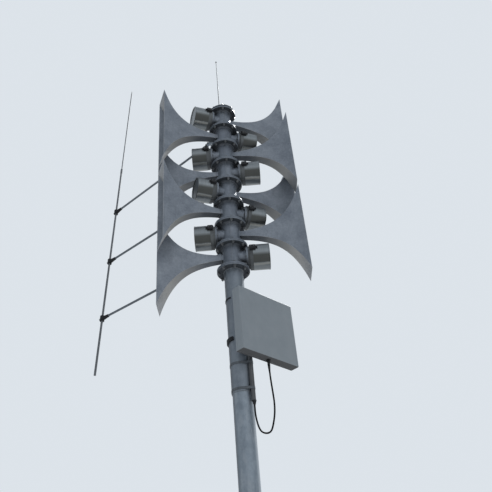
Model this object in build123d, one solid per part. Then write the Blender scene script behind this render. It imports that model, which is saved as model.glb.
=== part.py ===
"""Civil defense siren tower: a steel mast with eight stacked horn modules.

Units are millimetres. Z is up and the origin lies on the underside of the base
plate, in the middle of the mast. The front faces -Y. Each piece is a solid of
its own and is written to parts/ under its own name. Heights marked as measured
from the siren's base count from the underside of the adapter flange.
"""
import os
from math import asin, atan2, cos, degrees, exp, hypot, radians, sin, tan

from build123d import *

# Mast.
POLE_D = 107.0
POLE_WALL = 4.5
SLEEVE_D = 114.3
SLEEVE_CLEAR = 0.2
SLEEVE_LENGTH = 766.0
POLE_IN_SLEEVE = 420.0
SIREN_BASE_Z = 3640.0

# Base plate with its gussets.
PLATE_SIZE = 320.0
PLATE_THICK = 20.0
PLATE_CORNER = 14.0
ANCHOR_PCD = 350.0
ANCHOR_HOLE_D = 22.0
ANCHOR_COUNT = 4
GUSSET_COUNT = 4
GUSSET_H = 150.0
GUSSET_W = 84.0
GUSSET_THICK = 8.0
GUSSET_TOE_H = 22.0
GUSSET_TOP_W = 16.0

# Column of stacked modules.
MODULES = 8
PITCH = 173.3
TUBE_D = 118.0
FLANGE_D = 197.0
FLANGE_THICK = 10.0
FLANGE_CHAMFER = 1.5
FLARE_TALL = 32.0
FLARE_WIDE = 17.0
FLARE_BREAK_TALL = 14.0
FLARE_BREAK_WIDE = 6.0
FILLET_UNDER_FLANGE = 10.0
AXIS_TURN_ANGLE = 21.8
RIB_W = 5.0
RIB_PROUD = 2.5

# Driver side of a module; radii are distances from the column's axis.
DRIVER_SEAT_R = 94.0
DRIVER_END_R = 224.0
DRIVER_NECK_D = 92.0
DRIVER_NECK_FLARE = 8.0
DRIVER_NECK_FLARE_L = 18.0
DRIVER_FLANGE_THICK = 10.0
DRIVER_FLANGE_GAP = 1.0
DRIVER_RING_L = 20.0
DRIVER_RING_STEP = 1.5
DRIVER_D = 158.0
DRIVER_LIP_L = 6.0
DRIVER_LIP_PROUD = 1.5
DRIVER_LIP_CHAMFER = 2.0
DRIVER_RIM_W = 7.0
DRIVER_RECESS = 5.0

# Cable entry on the front of each driver, turned down from the top.
ENTRY_TURN_ANGLE = 78.0
ENTRY_L = 34.0
ENTRY_W = 34.0
ENTRY_H = 22.0
ENTRY_GAP = 2.0
ENTRY_LIFT = 5.0
ENTRY_CHAMFER = 3.0
ENTRY_GLAND_D = 11.0
ENTRY_GLAND_L = 12.0
ENTRY_GLAND_LIFT = 1.5

# Horn; radii are distances from the column's axis.
HORN_SEAT_R = 66.0
HORN_MOUTH_R = 454.0
HORN_MOUTH_H = 652.0
HORN_MOUTH_W = 146.0
HORN_THROAT_H = 36.0
HORN_THROAT_W = 46.0
HORN_RATE_TALL = 3.48
HORN_RATE_WIDE = 2.94
HORN_WALL = 4.0
HORN_RISE = 6.0
HORN_PROFILE_POINTS = 15
HORN_SLOPE_STEP = 0.5
HORN_CUT_PAST = 12.0
BOSS_MARGIN = 3.0
BOSS_CORNER = 6.0

# Top.
CAP_D = 190.0
CAP_THICK = 22.0
CAP_CHAMFER = 3.0
CAP_DOME = 5.0
CAP_DOME_D = 150.0
WHIP_X = -14.0
WHIP_BASE_D = 24.0
WHIP_BASE_H = 22.0
WHIP_NECK_D = 14.0
WHIP_NECK_H = 12.0
WHIP_D = 7.0
WHIP_TIP_D = 4.0
WHIP_TOP_Z = 2040.0
WHIP_BALL_D = 12.0
WHIP_BALL_ANGLES = (-60.0, -20.0, 20.0, 60.0)

# Antenna panel, its bracket and its cable gland; heights from the siren's base.
PANEL_W = 402.0
PANEL_H = 384.0
PANEL_T = 60.0
PANEL_TURN_ANGLE = 43.0
PANEL_FRONT_R = 150.0
PANEL_LEFT_X = -108.0
PANEL_TOP_Z = -204.0
PANEL_CORNER = 6.0
PANEL_FRONT_CORNER = 4.0
BRACKET_W = 60.0
BRACKET_H = 300.0
BRACKET_WALL = 5.0
BRACKET_DROP = 20.0
BRACKET_SADDLE_H = 60.0
GLAND_D = 24.0
GLAND_NUT_H = 8.0
GLAND_BODY_D = 16.0
GLAND_BODY_H = 8.0
GLAND_TIP_D = 12.0
GLAND_TIP_H = 10.0

# Short tube beside the sleeve, held by two bands; heights from the siren's base.
CONDUIT_D = 26.0
CONDUIT_TOP_Z = -575.0
CONDUIT_END_Z = -820.0
CONDUIT_ANGLE = -40.5
BAND_THICK = 1.5
BAND_H = 14.0
BAND_Z = (-608.0, -752.0)

# Cable loop from the panel to the short tube. It hangs narrower at the bottom, where it
# turns on a small radius. Drops count from the gland and rises from the tube's end. A bend
# takes a share of the shorter run beside it.
CABLE_D = 9.0
CABLE_SHIFT = 4.0
BEND_SHARE = 0.45
LOOP_BEND_R = 35.0
LOOP_TURN_ANGLE = 36.0
LOOP_TURN_POINTS = 4
LOOP_CENTRE_S = 50.0
LOOP_BOTTOM_Z = -987.0
LOOP_DROPS = (0.0, 40.0, 97.0, 155.0, 213.0, 268.0, 317.0)
LOOP_DRIFTS = (0.0, 0.0, -2.0, -5.5, -8.5, -4.5, 6.3)
LOOP_RISES = (112.0, 66.0, 30.0, 0.0)
LOOP_RISE_DRIFTS = (-4.5, -0.5, 0.0, 0.0)

# Open clamps around the sleeve's back; heights from the siren's base.
CLAMP_Z = (-202.0, -463.0)
CLAMP_H = (9.0, 22.0)
CLAMP_THICK = (3.0, 9.0)
CLAMP_FIRST_ANGLE = 62.0
CLAMP_LAST_ANGLE = 243.0

# Lightning rod; it leans a little, and its heights count from the siren's base.
ROD_X = -974.0
ROD_Y = 705.0
ROD_SLOPE_X = 0.0325
ROD_SLOPE_Y = 0.05083
ROD_D = 16.0
ROD_TOP_D = 10.0
ROD_TIP_L = 50.0
ROD_TIP_D = 3.0
ROD_SLEEVE_D = 19.0
ROD_SLEEVE_L = 46.0
ROD_BOTTOM_Z = -280.0
ROD_STEP_Z = 1700.0
ROD_TOP_Z = 2860.0

# Struts that hold the rod, under the flange joints counted from the bottom.
STRUT_JOINTS = {"strut_top": 7, "strut_middle": 4, "strut_bottom": 1}
STRUT_D = 16.0
STRUT_TAB_THICK = 8.0
STRUT_TAB_W = 46.0
STRUT_TAB_GAP = 2.0
STRUT_SOCKET_D = 26.0
STRUT_SOCKET_R = 102.0
STRUT_SOCKET_L = 58.0
STRUT_SOCKET_LAP = 10.0
ROD_CLAMP_D = 34.0
ROD_CLAMP_H = 40.0
ROD_CLAMP_TAPER_L = 44.0
ROD_CLAMP_TAPER_D = 22.0
ROD_CLAMP_SCREW_D = 12.0
ROD_CLAMP_SCREW_L = 10.0

# Clearance left where a round piece lies against another.
SNUG = 0.1

nodes = {}


def polar(radius: float, angle: float) -> tuple[float, float]:
    """Returns the x and y of a point at a radius and an angle in degrees."""
    return radius * cos(radians(angle)), radius * sin(radians(angle))


def rod(radius: float, start: Vector, end: Vector) -> Solid:
    """Returns a round bar between two points."""
    way = end - start
    return Solid.make_cylinder(radius, way.length, Plane(origin=start, z_dir=way))


def taper(first_d: float, last_d: float, start: Vector, end: Vector) -> Solid:
    """Returns a round bar between two points that changes from one diameter to another."""
    way = end - start
    return Solid.make_cone(first_d / 2, last_d / 2, way.length, Plane(origin=start, z_dir=way))


def module_angle(index: int) -> float:
    """Returns the direction in which a module's horn looks; 0 is the bottom one."""
    straight = 180.0 if index % 2 == 0 else 0.0
    turned = index % 4 in (2, 3)
    return straight + (AXIS_TURN_ANGLE if turned else 0.0)


def joint_z(index: int) -> float:
    """Returns the height of the joint plane under a module."""
    return SIREN_BASE_Z + FLANGE_THICK + index * PITCH


def disc(radius: float, thick: float, chamfer: float) -> Face:
    """Returns half the section of a disc on Z = 0 with both rims chamfered."""
    return make_face(Polyline(
        (0, 0), (radius - chamfer, 0), (radius, chamfer),
        (radius, thick - chamfer), (radius - chamfer, thick), (0, thick), (0, 0),
    ))


# Base plate
plate = extrude(RectangleRounded(PLATE_SIZE, PLATE_SIZE, PLATE_CORNER), PLATE_THICK)
for k in range(ANCHOR_COUNT):
    x, y = polar(ANCHOR_PCD / 2, 360.0 * (k + 0.5) / ANCHOR_COUNT)
    plate -= Pos(x, y, 0) * extrude(Circle(ANCHOR_HOLE_D / 2), PLATE_THICK)
heel = POLE_D / 2 + SNUG
gusset_face = Plane.XZ * Polygon(
    (heel, PLATE_THICK),
    (heel + GUSSET_W, PLATE_THICK),
    (heel + GUSSET_W, PLATE_THICK + GUSSET_TOE_H),
    (heel + GUSSET_TOP_W, PLATE_THICK + GUSSET_H),
    (heel, PLATE_THICK + GUSSET_H),
    align=None,
)
gusset = extrude(gusset_face, GUSSET_THICK / 2, both=True)
for k in range(GUSSET_COUNT):
    plate += Rot(0, 0, 360.0 * k / GUSSET_COUNT) * gusset
nodes["base_plate"] = plate

# Mast
pole_top = SIREN_BASE_Z - SLEEVE_LENGTH + POLE_IN_SLEEVE
pole_ring = Circle(POLE_D / 2) - Circle(POLE_D / 2 - POLE_WALL)
nodes["pole_lower"] = Pos(0, 0, PLATE_THICK) * extrude(pole_ring, pole_top - PLATE_THICK)

sleeve_ring = Circle(SLEEVE_D / 2) - Circle(POLE_D / 2 + SLEEVE_CLEAR)
sleeve_z = SIREN_BASE_Z - SLEEVE_LENGTH
nodes["pole_sleeve"] = Pos(0, 0, sleeve_z) * extrude(sleeve_ring, SLEEVE_LENGTH)

adapter_face = Plane.XZ * disc(FLANGE_D / 2, FLANGE_THICK, FLANGE_CHAMFER)
nodes["siren_adapter"] = Pos(0, 0, SIREN_BASE_Z) * revolve(adapter_face, Axis.Z)


# Column
def tube_section(proud: float) -> Face:
    """Returns half the section of a module's tube between its flanges, grown outward."""
    r = TUBE_D / 2 + proud
    low, high = FLANGE_THICK, PITCH - FLANGE_THICK
    return make_face(Polyline(
        (0, low), (r + FLARE_WIDE, low), (r + FLARE_BREAK_WIDE, low + FLARE_BREAK_TALL),
        (r, low + FLARE_TALL), (r, high - FILLET_UNDER_FLANGE), (r + FILLET_UNDER_FLANGE, high),
        (0, high), (0, low),
    ))


def horn_half(u: float, tall: bool) -> float:
    """Returns the horn's outer half size at a distance from the column's axis."""
    t = (u - HORN_SEAT_R) / (HORN_MOUTH_R - HORN_SEAT_R)
    rate = HORN_RATE_TALL if tall else HORN_RATE_WIDE
    throat = HORN_THROAT_H if tall else HORN_THROAT_W
    mouth = HORN_MOUTH_H if tall else HORN_MOUTH_W
    return (throat + (mouth - throat) * (exp(rate * t) - 1) / (exp(rate) - 1)) / 2


def horn_outline(tall: bool, inset: float, past: float) -> Face:
    """Returns the horn's outline in elevation or in plan, drawn inward by inset."""
    first, last = HORN_SEAT_R - past, HORN_MOUTH_R + past
    run = 2 * HORN_SLOPE_STEP
    points = []
    for k in range(HORN_PROFILE_POINTS):
        u = first + (last - first) * k / (HORN_PROFILE_POINTS - 1)
        rise = horn_half(u + HORN_SLOPE_STEP, tall) - horn_half(u - HORN_SLOPE_STEP, tall)
        size = hypot(run, rise)
        points.append((u + inset * rise / size, horn_half(u, tall) - inset * run / size))
    upper = Spline(*points)
    lower = Spline(*[(a, -b) for a, b in points])
    mouth = Line(points[-1], (points[-1][0], -points[-1][1]))
    throat = Line((points[0][0], -points[0][1]), points[0])
    return make_face([upper, mouth, lower, throat])


def horn_block(inset: float, past: float) -> Part:
    """Returns the space inside an outline in elevation and one in plan."""
    side = extrude(Plane.XZ * horn_outline(True, inset, past), HORN_MOUTH_W, both=True)
    plan = extrude(horn_outline(False, inset, past), HORN_MOUTH_H, both=True)
    return side & plan


def horn_shell() -> Part:
    """Returns one horn along +X, open at both ends."""
    return horn_block(0.0, 0.0) - horn_block(HORN_WALL, HORN_CUT_PAST)


def driver_side(profile: Polyline) -> Part:
    """Returns a profile turned round a driver's axis, which runs along -X in line with the horn."""
    return Pos(0, 0, PITCH / 2 + HORN_RISE) * Rot(0, 0, 180) * revolve(make_face(profile), Axis.X)


driver_flange_r = PITCH / 2 - HORN_RISE - FLANGE_THICK - DRIVER_FLANGE_GAP


def module_body() -> Part:
    """Returns one cast module with its horn toward +X, standing on Z = 0."""
    body = revolve(Plane.XZ * tube_section(0.0), Axis.Z)
    flange = revolve(Plane.XZ * disc(FLANGE_D / 2, FLANGE_THICK, FLANGE_CHAMFER), Axis.Z)
    body += flange
    body += Pos(0, 0, PITCH - FLANGE_THICK) * flange
    rib = extrude(Plane.XZ * tube_section(RIB_PROUD), RIB_W / 2, both=True)
    body += Rot(0, 0, 90) * rib
    body += Rot(0, 0, -90) * rib
    throat_axis = Plane(origin=(0, 0, PITCH / 2 + HORN_RISE), x_dir=(0, 1, 0), z_dir=(1, 0, 0))
    boss = RectangleRounded(
        HORN_THROAT_W + 2 * BOSS_MARGIN, HORN_THROAT_H + 2 * BOSS_MARGIN, BOSS_CORNER
    )
    body += extrude(throat_axis * boss, HORN_SEAT_R)
    neck = DRIVER_NECK_D / 2
    seat, flange_from = DRIVER_SEAT_R, DRIVER_SEAT_R - DRIVER_FLANGE_THICK
    body += driver_side(Polyline(
        (0, 0), (0, neck), (flange_from - DRIVER_NECK_FLARE_L, neck),
        (flange_from, neck + DRIVER_NECK_FLARE), (flange_from, driver_flange_r),
        (seat, driver_flange_r), (seat, 0), (0, 0),
    ))
    return body


def driver_can() -> Part:
    """Returns one driver along -X: flange, ring, can and rolled end rim."""
    r, seat, end = DRIVER_D / 2, DRIVER_SEAT_R, DRIVER_END_R
    ring_from = seat + DRIVER_FLANGE_THICK
    ring_to = ring_from + DRIVER_RING_L
    ring = r - DRIVER_RING_STEP
    lip = r + DRIVER_LIP_PROUD
    return driver_side(Polyline(
        (seat, 0), (seat, driver_flange_r), (ring_from, driver_flange_r),
        (ring_from, ring), (ring_to, ring), (ring_to, r),
        (end - DRIVER_LIP_L, r), (end - DRIVER_LIP_L, lip),
        (end - DRIVER_LIP_CHAMFER, lip), (end, lip - DRIVER_LIP_CHAMFER),
        (end, r - DRIVER_RIM_W), (end - DRIVER_RECESS, r - DRIVER_RIM_W - DRIVER_RECESS),
        (end - DRIVER_RECESS, 0), (seat, 0),
    ))


def driver_entry(turn: float) -> Part:
    """Returns the cable entry on a driver lying along -X, turned round it from the top."""
    first = DRIVER_SEAT_R + DRIVER_FLANGE_THICK + ENTRY_GAP
    top = DRIVER_D / 2 + ENTRY_LIFT + ENTRY_H / 2
    block = Pos(first + ENTRY_L / 2, 0, top - ENTRY_H / 2) * Box(ENTRY_L, ENTRY_W, ENTRY_H)
    block = chamfer(block.faces().sort_by(Axis.Z)[-1].edges(), ENTRY_CHAMFER)
    saddle = Plane(origin=(0, 0, 0), z_dir=(1, 0, 0)) * Circle(DRIVER_D / 2 + SNUG)
    block -= extrude(saddle, DRIVER_END_R)
    gland_z = DRIVER_D / 2 + ENTRY_GLAND_LIFT + ENTRY_GLAND_D / 2
    gland = Plane(origin=(first + ENTRY_L, 0, gland_z), z_dir=(1, 0, 0)) * Circle(ENTRY_GLAND_D / 2)
    block += extrude(gland, ENTRY_GLAND_L)
    return Pos(0, 0, PITCH / 2 + HORN_RISE) * Rot(0, 0, 180) * Rot(turn, 0, 0) * block


body = module_body()
shell = horn_shell()
can = driver_can()
entries = []
for k in range(MODULES):
    place = Pos(0, 0, joint_z(k)) * Rot(0, 0, module_angle(k))
    drives_right = cos(radians(module_angle(k))) < 0
    entry = driver_entry(ENTRY_TURN_ANGLE if drives_right else -ENTRY_TURN_ANGLE)
    nodes[f"column_module_{k + 1}"] = place * body
    nodes[f"horn_{k + 1}"] = place * Pos(0, 0, PITCH / 2 + HORN_RISE) * shell
    nodes[f"driver_{k + 1}"] = place * can
    entries.append(place * entry)
nodes["driver_glands"] = entries

# Top
cap_z = joint_z(MODULES)
cap_face = Plane.XZ * make_face(Polyline(
    (0, 0), (CAP_D / 2 - CAP_CHAMFER, 0), (CAP_D / 2, CAP_CHAMFER),
    (CAP_D / 2, CAP_THICK - CAP_CHAMFER), (CAP_D / 2 - CAP_CHAMFER, CAP_THICK),
    (CAP_DOME_D / 2, CAP_THICK + CAP_DOME), (0, CAP_THICK + CAP_DOME), (0, 0),
))
nodes["top_cap"] = Pos(0, 0, cap_z) * revolve(cap_face, Axis.Z)

whip_h = SIREN_BASE_Z + WHIP_TOP_Z - cap_z - CAP_THICK - CAP_DOME
whip_from = WHIP_BASE_H + WHIP_NECK_H
ball_r = WHIP_BALL_D / 2
ball = [polar(ball_r, angle) for angle in WHIP_BALL_ANGLES]
whip_face = Plane.XZ * make_face(Polyline(
    (0, 0), (WHIP_BASE_D / 2, 0), (WHIP_BASE_D / 2, WHIP_BASE_H), (WHIP_NECK_D / 2, WHIP_BASE_H),
    (WHIP_NECK_D / 2, whip_from), (WHIP_D / 2, whip_from), (WHIP_TIP_D / 2, whip_h - ball_r),
    *[(x, whip_h + z) for x, z in ball],
    (WHIP_TIP_D / 2, whip_h + ball_r), (0, whip_h + ball_r), (0, 0),
))
nodes["whip_antenna"] = Pos(WHIP_X, 0, cap_z + CAP_THICK + CAP_DOME) * revolve(whip_face, Axis.Z)

# Antenna panel. In its own frame +X runs along the panel's face and -Y is its front.
panel_frame = Pos(0, 0, SIREN_BASE_Z) * Rot(0, 0, PANEL_TURN_ANGLE)
panel_x = PANEL_LEFT_X + PANEL_W / 2
panel_y = -PANEL_FRONT_R + PANEL_T / 2
panel_bottom_z = PANEL_TOP_Z - PANEL_H
panel = Box(PANEL_W, PANEL_T, PANEL_H)
panel = fillet(panel.edges().filter_by(Axis.Z), PANEL_CORNER)
panel = fillet(panel.faces().sort_by(Axis.Y)[0].edges(), PANEL_FRONT_CORNER)
nodes["antenna_panel"] = panel_frame * Pos(panel_x, panel_y, PANEL_TOP_Z - PANEL_H / 2) * panel

bracket_from = -PANEL_FRONT_R + PANEL_T
bracket_to = -(SLEEVE_D / 2 + SNUG)
bracket_depth = bracket_to - bracket_from
inside = Box(BRACKET_W - 2 * BRACKET_WALL, bracket_depth, BRACKET_H)
channel = Box(BRACKET_W, bracket_depth, BRACKET_H) - Pos(0, BRACKET_WALL, 0) * inside
saddle_y = bracket_depth / 2 - BRACKET_WALL / 2
channel += Pos(0, saddle_y, 0) * Box(BRACKET_W, BRACKET_WALL, BRACKET_SADDLE_H)
bracket_z = PANEL_TOP_Z - BRACKET_DROP - BRACKET_H / 2
nodes["panel_bracket"] = panel_frame * Pos(0, (bracket_from + bracket_to) / 2, bracket_z) * channel

gland_h = GLAND_NUT_H + GLAND_BODY_H + GLAND_TIP_H
gland = Pos(0, 0, -GLAND_NUT_H) * extrude(RegularPolygon(GLAND_D / 2, 6), GLAND_NUT_H)
gland += revolve(Plane.XZ * make_face(Polyline(
    (0, -GLAND_NUT_H), (GLAND_BODY_D / 2, -GLAND_NUT_H),
    (GLAND_BODY_D / 2, -GLAND_NUT_H - GLAND_BODY_H), (GLAND_TIP_D / 2, -gland_h), (0, -gland_h),
    (0, -GLAND_NUT_H),
)), Axis.Z)
nodes["panel_gland"] = panel_frame * Pos(panel_x, panel_y, panel_bottom_z) * gland

# Short tube and its bands
conduit_r = SLEEVE_D / 2 + SNUG + CONDUIT_D / 2
conduit_x, conduit_y = polar(conduit_r, CONDUIT_ANGLE)
conduit = extrude(Circle(CONDUIT_D / 2), CONDUIT_TOP_Z - CONDUIT_END_Z)
nodes["cable_tube"] = Pos(conduit_x, conduit_y, SIREN_BASE_Z + CONDUIT_END_Z) * conduit


def band_face(grow: float) -> Sketch:
    """Returns the outline around the sleeve and the short tube, grown outward."""
    big, small = SLEEVE_D / 2 + grow, CONDUIT_D / 2 + grow
    lean = asin((big - small) / conduit_r)
    side = cos(lean)
    quad = Polygon(
        (big * sin(lean), big * side),
        (conduit_r + small * sin(lean), small * side),
        (conduit_r + small * sin(lean), -small * side),
        (big * sin(lean), -big * side),
        align=None,
    )
    return Circle(big) + Pos(conduit_r, 0) * Circle(small) + quad


band = extrude(band_face(SNUG + BAND_THICK) - band_face(SNUG), BAND_H / 2, both=True)
band = Rot(0, 0, CONDUIT_ANGLE) * band
nodes["tube_bands"] = [Pos(0, 0, SIREN_BASE_Z + z) * band for z in BAND_Z]

# Clamps: open bands around the sleeve's back and left side
clamps = []
for z, tall, thick in zip(CLAMP_Z, CLAMP_H, CLAMP_THICK):
    section = Plane.XZ * Pos(SLEEVE_D / 2 + SNUG + thick / 2, 0) * Rectangle(thick, tall)
    clamp = revolve(section, Axis.Z, CLAMP_LAST_ANGLE - CLAMP_FIRST_ANGLE)
    clamps.append(Pos(0, 0, SIREN_BASE_Z + z) * Rot(0, 0, CLAMP_FIRST_ANGLE) * clamp)
nodes["pole_clamps"] = clamps


# Cable loop
def corner_radii(points: list[Vector]) -> list[float]:
    """Returns a bend radius for each inner corner of a path."""
    radii = []
    for a, b, c in zip(points, points[1:], points[2:]):
        turn = radians((b - a).get_angle(c - b))
        short = min((b - a).length, (c - b).length)
        radii.append(BEND_SHARE * short / tan(turn / 2))
    return radii


def cable(points: list[Vector], radii: list[float], diameter: float) -> Part:
    """Returns a round cable along straight runs joined by arcs, and prints its sizes."""
    path = FilletPolyline(*points, radius=radii)
    runs = [(b - a).length for a, b in zip(points, points[1:])]
    print("runs", [round(v, 1) for v in runs], "radii", [round(v, 1) for v in radii])
    print("length", round(path.length, 1))
    start = Plane(origin=points[0], z_dir=points[1] - points[0])
    return sweep(start * Circle(diameter / 2), path=path)


# The loop is drawn as a distance from the gland toward the tube against a height.
gland_at = Plane.XY.rotated((0, 0, PANEL_TURN_ANGLE)).from_local_coords(Vector(panel_x, panel_y, 0))
conduit_at = Vector(*polar(conduit_r + CABLE_SHIFT, CONDUIT_ANGLE), 0)
gap = (conduit_at - gland_at).length
across = (conduit_at - gland_at) / gap
gland_z = panel_bottom_z - gland_h
loop = [(drift, gland_z - drop) for drop, drift in zip(LOOP_DROPS, LOOP_DRIFTS)]
reach = LOOP_BEND_R / cos(radians(LOOP_TURN_ANGLE / 2))
for k in range(LOOP_TURN_POINTS):
    s, z = polar(reach, 270.0 + LOOP_TURN_ANGLE * (k + 0.5 - LOOP_TURN_POINTS / 2))
    loop.append((LOOP_CENTRE_S + s, LOOP_BOTTOM_Z + LOOP_BEND_R + z))
for rise, drift in zip(LOOP_RISES, LOOP_RISE_DRIFTS):
    loop.append((gap + drift, CONDUIT_END_Z - rise))
loop_points = [gland_at + across * s + Vector(0, 0, SIREN_BASE_Z + z) for s, z in loop]
nodes["panel_cable"] = cable(loop_points, corner_radii(loop_points), CABLE_D)


# Lightning rod
def rod_point(z: float) -> Vector:
    """Returns the point of the rod's axis at a height above the siren's base."""
    return Vector(ROD_X + ROD_SLOPE_X * z, ROD_Y + ROD_SLOPE_Y * z, SIREN_BASE_Z + z)


nodes["lightning_rod"] = (
    Part()
    + rod(ROD_D / 2, rod_point(ROD_BOTTOM_Z), rod_point(ROD_STEP_Z))
    + rod(ROD_TOP_D / 2, rod_point(ROD_STEP_Z), rod_point(ROD_TOP_Z - ROD_TIP_L))
    + taper(ROD_TOP_D, ROD_TIP_D, rod_point(ROD_TOP_Z - ROD_TIP_L), rod_point(ROD_TOP_Z))
    + rod(ROD_SLEEVE_D / 2, rod_point(ROD_STEP_Z - ROD_SLEEVE_L / 2), rod_point(ROD_STEP_Z + ROD_SLEEVE_L / 2))
)

# Struts: a tab and socket under a flange joint, the bar, and a clamp on the rod
strut_brackets = []
rod_clamps = []
tab_from = TUBE_D / 2 + FILLET_UNDER_FLANGE + STRUT_TAB_GAP
tab_to = STRUT_SOCKET_R + STRUT_SOCKET_LAP
socket_to = STRUT_SOCKET_R + STRUT_SOCKET_L
for name, joint in STRUT_JOINTS.items():
    z = joint * PITCH - STRUT_TAB_THICK / 2
    far = rod_point(z)
    length = hypot(far.X, far.Y)
    frame = Pos(0, 0, SIREN_BASE_Z + z) * Rot(0, 0, degrees(atan2(far.Y, far.X)))
    tab = Box(tab_to - tab_from, STRUT_TAB_W, STRUT_TAB_THICK)
    socket = rod(STRUT_SOCKET_D / 2, Vector(STRUT_SOCKET_R, 0, 0), Vector(socket_to, 0, 0))
    strut_brackets.append(frame * (Pos((tab_from + tab_to) / 2, 0, 0) * tab + socket))
    clamp_from = length - ROD_CLAMP_D / 2 - ROD_CLAMP_TAPER_L
    nodes[name] = frame * rod(STRUT_D / 2, Vector(socket_to, 0, 0), Vector(clamp_from, 0, 0))
    half = ROD_CLAMP_H / 2
    screw_to = length + ROD_CLAMP_D / 2 + ROD_CLAMP_SCREW_L
    clamp = Part() + rod(ROD_CLAMP_D / 2, rod_point(z - half), rod_point(z + half))
    clamp += frame * taper(ROD_CLAMP_TAPER_D, ROD_CLAMP_D, Vector(clamp_from, 0, 0), Vector(length, 0, 0))
    clamp += frame * rod(ROD_CLAMP_SCREW_D / 2, Vector(length, 0, 0), Vector(screw_to, 0, 0))
    clamp -= rod(ROD_D / 2 + SNUG, rod_point(z - ROD_CLAMP_H), rod_point(z + ROD_CLAMP_H))
    rod_clamps.append(clamp)
nodes["strut_brackets"] = strut_brackets
nodes["rod_clamps"] = rod_clamps

os.makedirs("parts", exist_ok=True)
for name, piece in nodes.items():
    parts = piece if isinstance(piece, list) else [piece]
    solids = [solid for part in parts for solid in part.solids()]
    shape = solids[0] if len(solids) == 1 else Compound(children=solids)
    shape.label = name
    export_step(shape, f"parts/{name}.step")
print(len(nodes), "nodes")
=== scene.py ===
"""Finishes, hardware, cable, light and camera for the civil defense siren tower.

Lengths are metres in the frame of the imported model: Z is up, the mast's axis
lies at X = Y = 0 and the front looks toward -Y. Surfaces are worked out as
whole numpy arrays and finishes are built from shader nodes.
"""

import logging
from dataclasses import dataclass
from enum import Enum
from math import cos, pi, radians, sin, tau

import bpy
import numpy as np
from mathutils import Matrix


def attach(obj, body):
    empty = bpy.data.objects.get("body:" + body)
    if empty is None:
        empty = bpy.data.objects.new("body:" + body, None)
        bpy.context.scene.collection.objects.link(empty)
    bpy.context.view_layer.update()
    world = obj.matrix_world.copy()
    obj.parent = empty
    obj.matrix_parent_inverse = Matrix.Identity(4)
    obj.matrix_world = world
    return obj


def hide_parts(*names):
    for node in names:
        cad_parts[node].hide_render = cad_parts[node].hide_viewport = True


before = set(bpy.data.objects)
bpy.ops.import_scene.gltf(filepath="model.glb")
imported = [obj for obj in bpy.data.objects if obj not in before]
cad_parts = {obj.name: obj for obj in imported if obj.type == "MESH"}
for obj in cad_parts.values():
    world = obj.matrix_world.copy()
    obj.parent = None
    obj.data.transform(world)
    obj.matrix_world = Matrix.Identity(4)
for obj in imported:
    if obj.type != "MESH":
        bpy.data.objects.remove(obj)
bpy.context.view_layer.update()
LOG = logging.getLogger("siren_tower")

Array = np.ndarray
Pair = tuple[float, float]
Point = tuple[float, float, float]
Rgb = tuple[float, float, float]
Socket = bpy.types.NodeSocket

# Values that several parts share
UP = np.array([0.0, 0.0, 1.0])
SIREN_BASE = 3.640
MODULE_PITCH = 0.1733
PAIR_TURN = radians(21.8)


# Surfaces
@dataclass(frozen=True)
class Shell:
    """A closed surface.

    Faces are stored flat: corners holds every face's corner numbers one after
    another, and sizes holds how many corners each face has.
    """

    points: Array
    corners: Array
    sizes: Array

    def volume(self) -> float:
        """Returns the signed volume: a third of the sum of face middle times area vector."""
        start = np.cumsum(self.sizes) - self.sizes
        here = self.points[self.corners]
        following = np.arange(1, len(self.corners) + 1)
        following[start + self.sizes - 1] = start
        area = np.add.reduceat(np.cross(here, here[following]), start, axis=0) / 2
        middle = np.add.reduceat(here, start, axis=0) / self.sizes[:, None]
        return float((middle * area).sum() / 3)

    def outward(self) -> "Shell":
        """Returns the same surface with its faces pointing out of it."""
        if self.volume() >= 0:
            return self
        return Shell(self.points, self.corners[::-1], self.sizes[::-1])

    def moved(self, shift: Point) -> "Shell":
        """Returns the same surface moved by a shift."""
        return Shell(self.points + np.array(shift), self.corners, self.sizes)

    def copies(self, turns: Array, shifts: Array) -> "Shell":
        """Puts a copy at each place: a point p becomes turn p + shift.

        Args:
            turns: one 3 x 3 rotation for each copy.
            shifts: one position for each copy.

        Returns:
            All copies as one shell.
        """
        points = np.einsum("kij,nj->kni", turns, self.points) + shifts[:, None, :]
        step = np.arange(len(turns))[:, None] * len(self.points)
        corners = (self.corners[None, :] + step).ravel()
        return Shell(points.reshape(-1, 3), corners, np.tile(self.sizes, len(turns)))

    def joined(self, *others: "Shell") -> "Shell":
        """Returns this shell and others as one."""
        shells = (self, *others)
        first = np.cumsum([0] + [len(s.points) for s in shells[:-1]])
        return Shell(
            np.concatenate([s.points for s in shells]),
            np.concatenate([s.corners + k for s, k in zip(shells, first)]),
            np.concatenate([s.sizes for s in shells]),
        )


def skin(rows: Array, ring: bool = False) -> Shell:
    """Closes a surface over a grid of points.

    Row i and column j are joined to their neighbours by quads, and the columns
    close round. A ring joins its last row to its first; any other skin gets
    one face at each end.

    Args:
        rows: points as an m x n x 3 array.
        ring: True if the rows close round too.

    Returns:
        The shell, with its faces outward.
    """
    m, n = rows.shape[:2]
    number = np.arange(m * n).reshape(m, n)
    here = number if ring else number[:-1]
    there = np.roll(number, -1, axis=0)[: len(here)]
    quads = np.stack([here, np.roll(here, -1, 1), np.roll(there, -1, 1), there], axis=-1)
    corners, sizes = quads.ravel(), np.full(quads.size // 4, 4)
    if not ring:
        corners = np.concatenate([corners, number[0, ::-1], number[-1]])
        sizes = np.concatenate([sizes, [n, n]])
    return Shell(rows.reshape(-1, 3).astype(float), corners, sizes).outward()


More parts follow.
